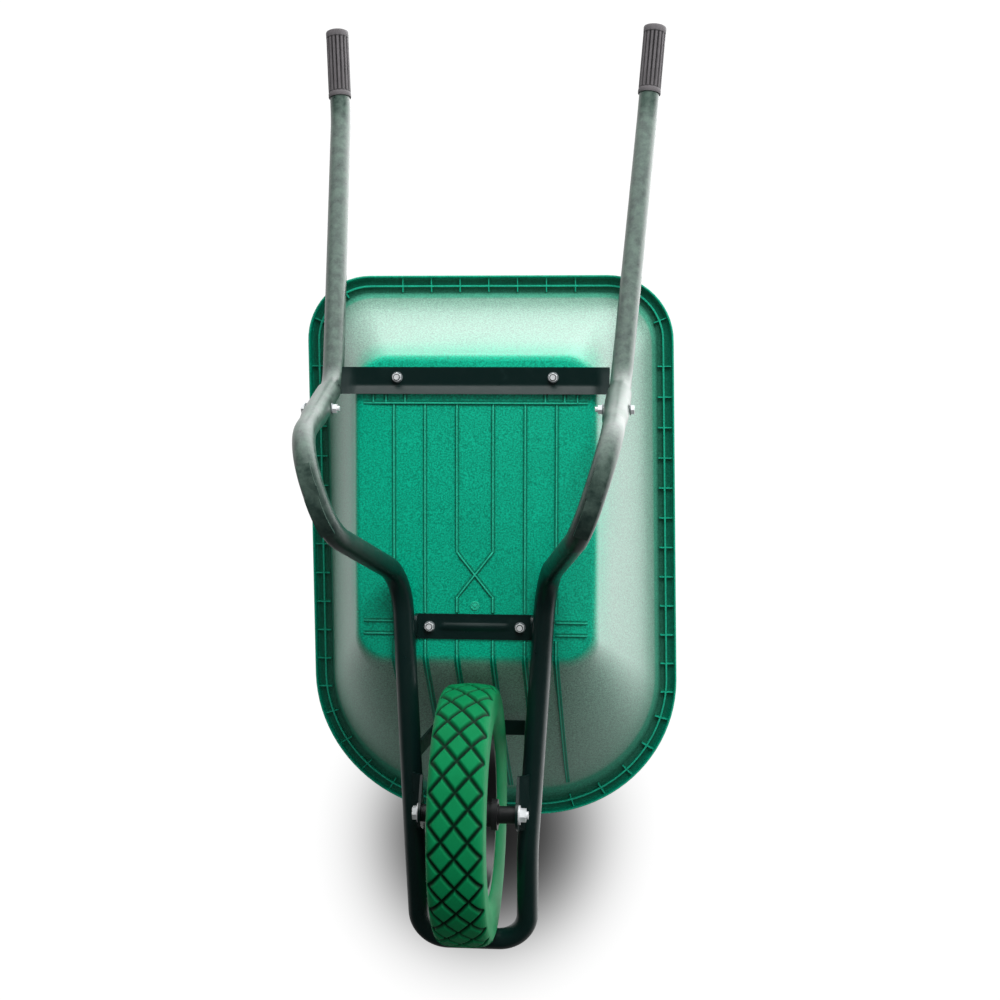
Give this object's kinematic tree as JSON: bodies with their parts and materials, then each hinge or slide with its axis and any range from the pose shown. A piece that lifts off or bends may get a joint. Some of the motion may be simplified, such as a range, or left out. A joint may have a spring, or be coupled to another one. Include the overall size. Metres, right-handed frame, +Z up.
{
  "type": "wheelbarrow",
  "caption": "Builder's wheelbarrow with a moulded plastic tray, bent tube frame with legs and handles, and one free-spinning wheel.",
  "frame": {"origin": "centre of the footprint at ground level, standing on the wheel and both feet", "axes": "+Z up, -Y towards the wheel and nose, +Y towards the handles, X across along the axle"},
  "size_m": [0.636, 1.4846, 0.6543],
  "materials": {
    "tray_plastic": "smooth moulded polypropylene, satin gloss",
    "frame_paint": "near-black green powder coat, semi gloss",
    "tyre_foam": "green solid foam tyre, matte",
    "rim_paint": "black enamel on pressed steel",
    "hub_plastic": "black nylon",
    "zinc": "bright zinc plating",
    "grip_rubber": "dark grey moulded grip, matte"
  },
  "bodies": {
    "frame": {"tray": "tray_plastic", "front_frame": "frame_paint", "handle_left": "frame_paint", "handle_right": "frame_paint", "rear_crossbar": "frame_paint", "front_crossbar": "frame_paint", "tray_stay": "frame_paint", "axle_bracket_left": "frame_paint", "axle_bracket_right": "frame_paint", "axle_bolt": "zinc", "axle_washers": "zinc", "axle_nut": "zinc", "hub_spacer_left": "hub_plastic", "hub_spacer_right": "hub_plastic", "foot_strap_left": "frame_paint", "foot_strap_right": "frame_paint", "leg_bolts": "zinc", "leg_washers": "zinc", "leg_nuts": "zinc", "tray_bolts": "zinc", "tray_washers": "zinc", "tray_nuts": "zinc", "grip_left": "grip_rubber", "grip_right": "grip_rubber"},
    "wheel": {"hub": "hub_plastic", "hub_bush_left": "hub_plastic", "hub_bush_right": "hub_plastic", "rim": "rim_paint", "tyre": "tyre_foam"}
  },
  "joints": [
    {"name": "wheel_spin", "type": "hinge", "parent": "frame", "child": "wheel", "pos_m": [0, -0.50577, 0.2], "axis": [1, 0, 0], "continuous": true}
  ]
}
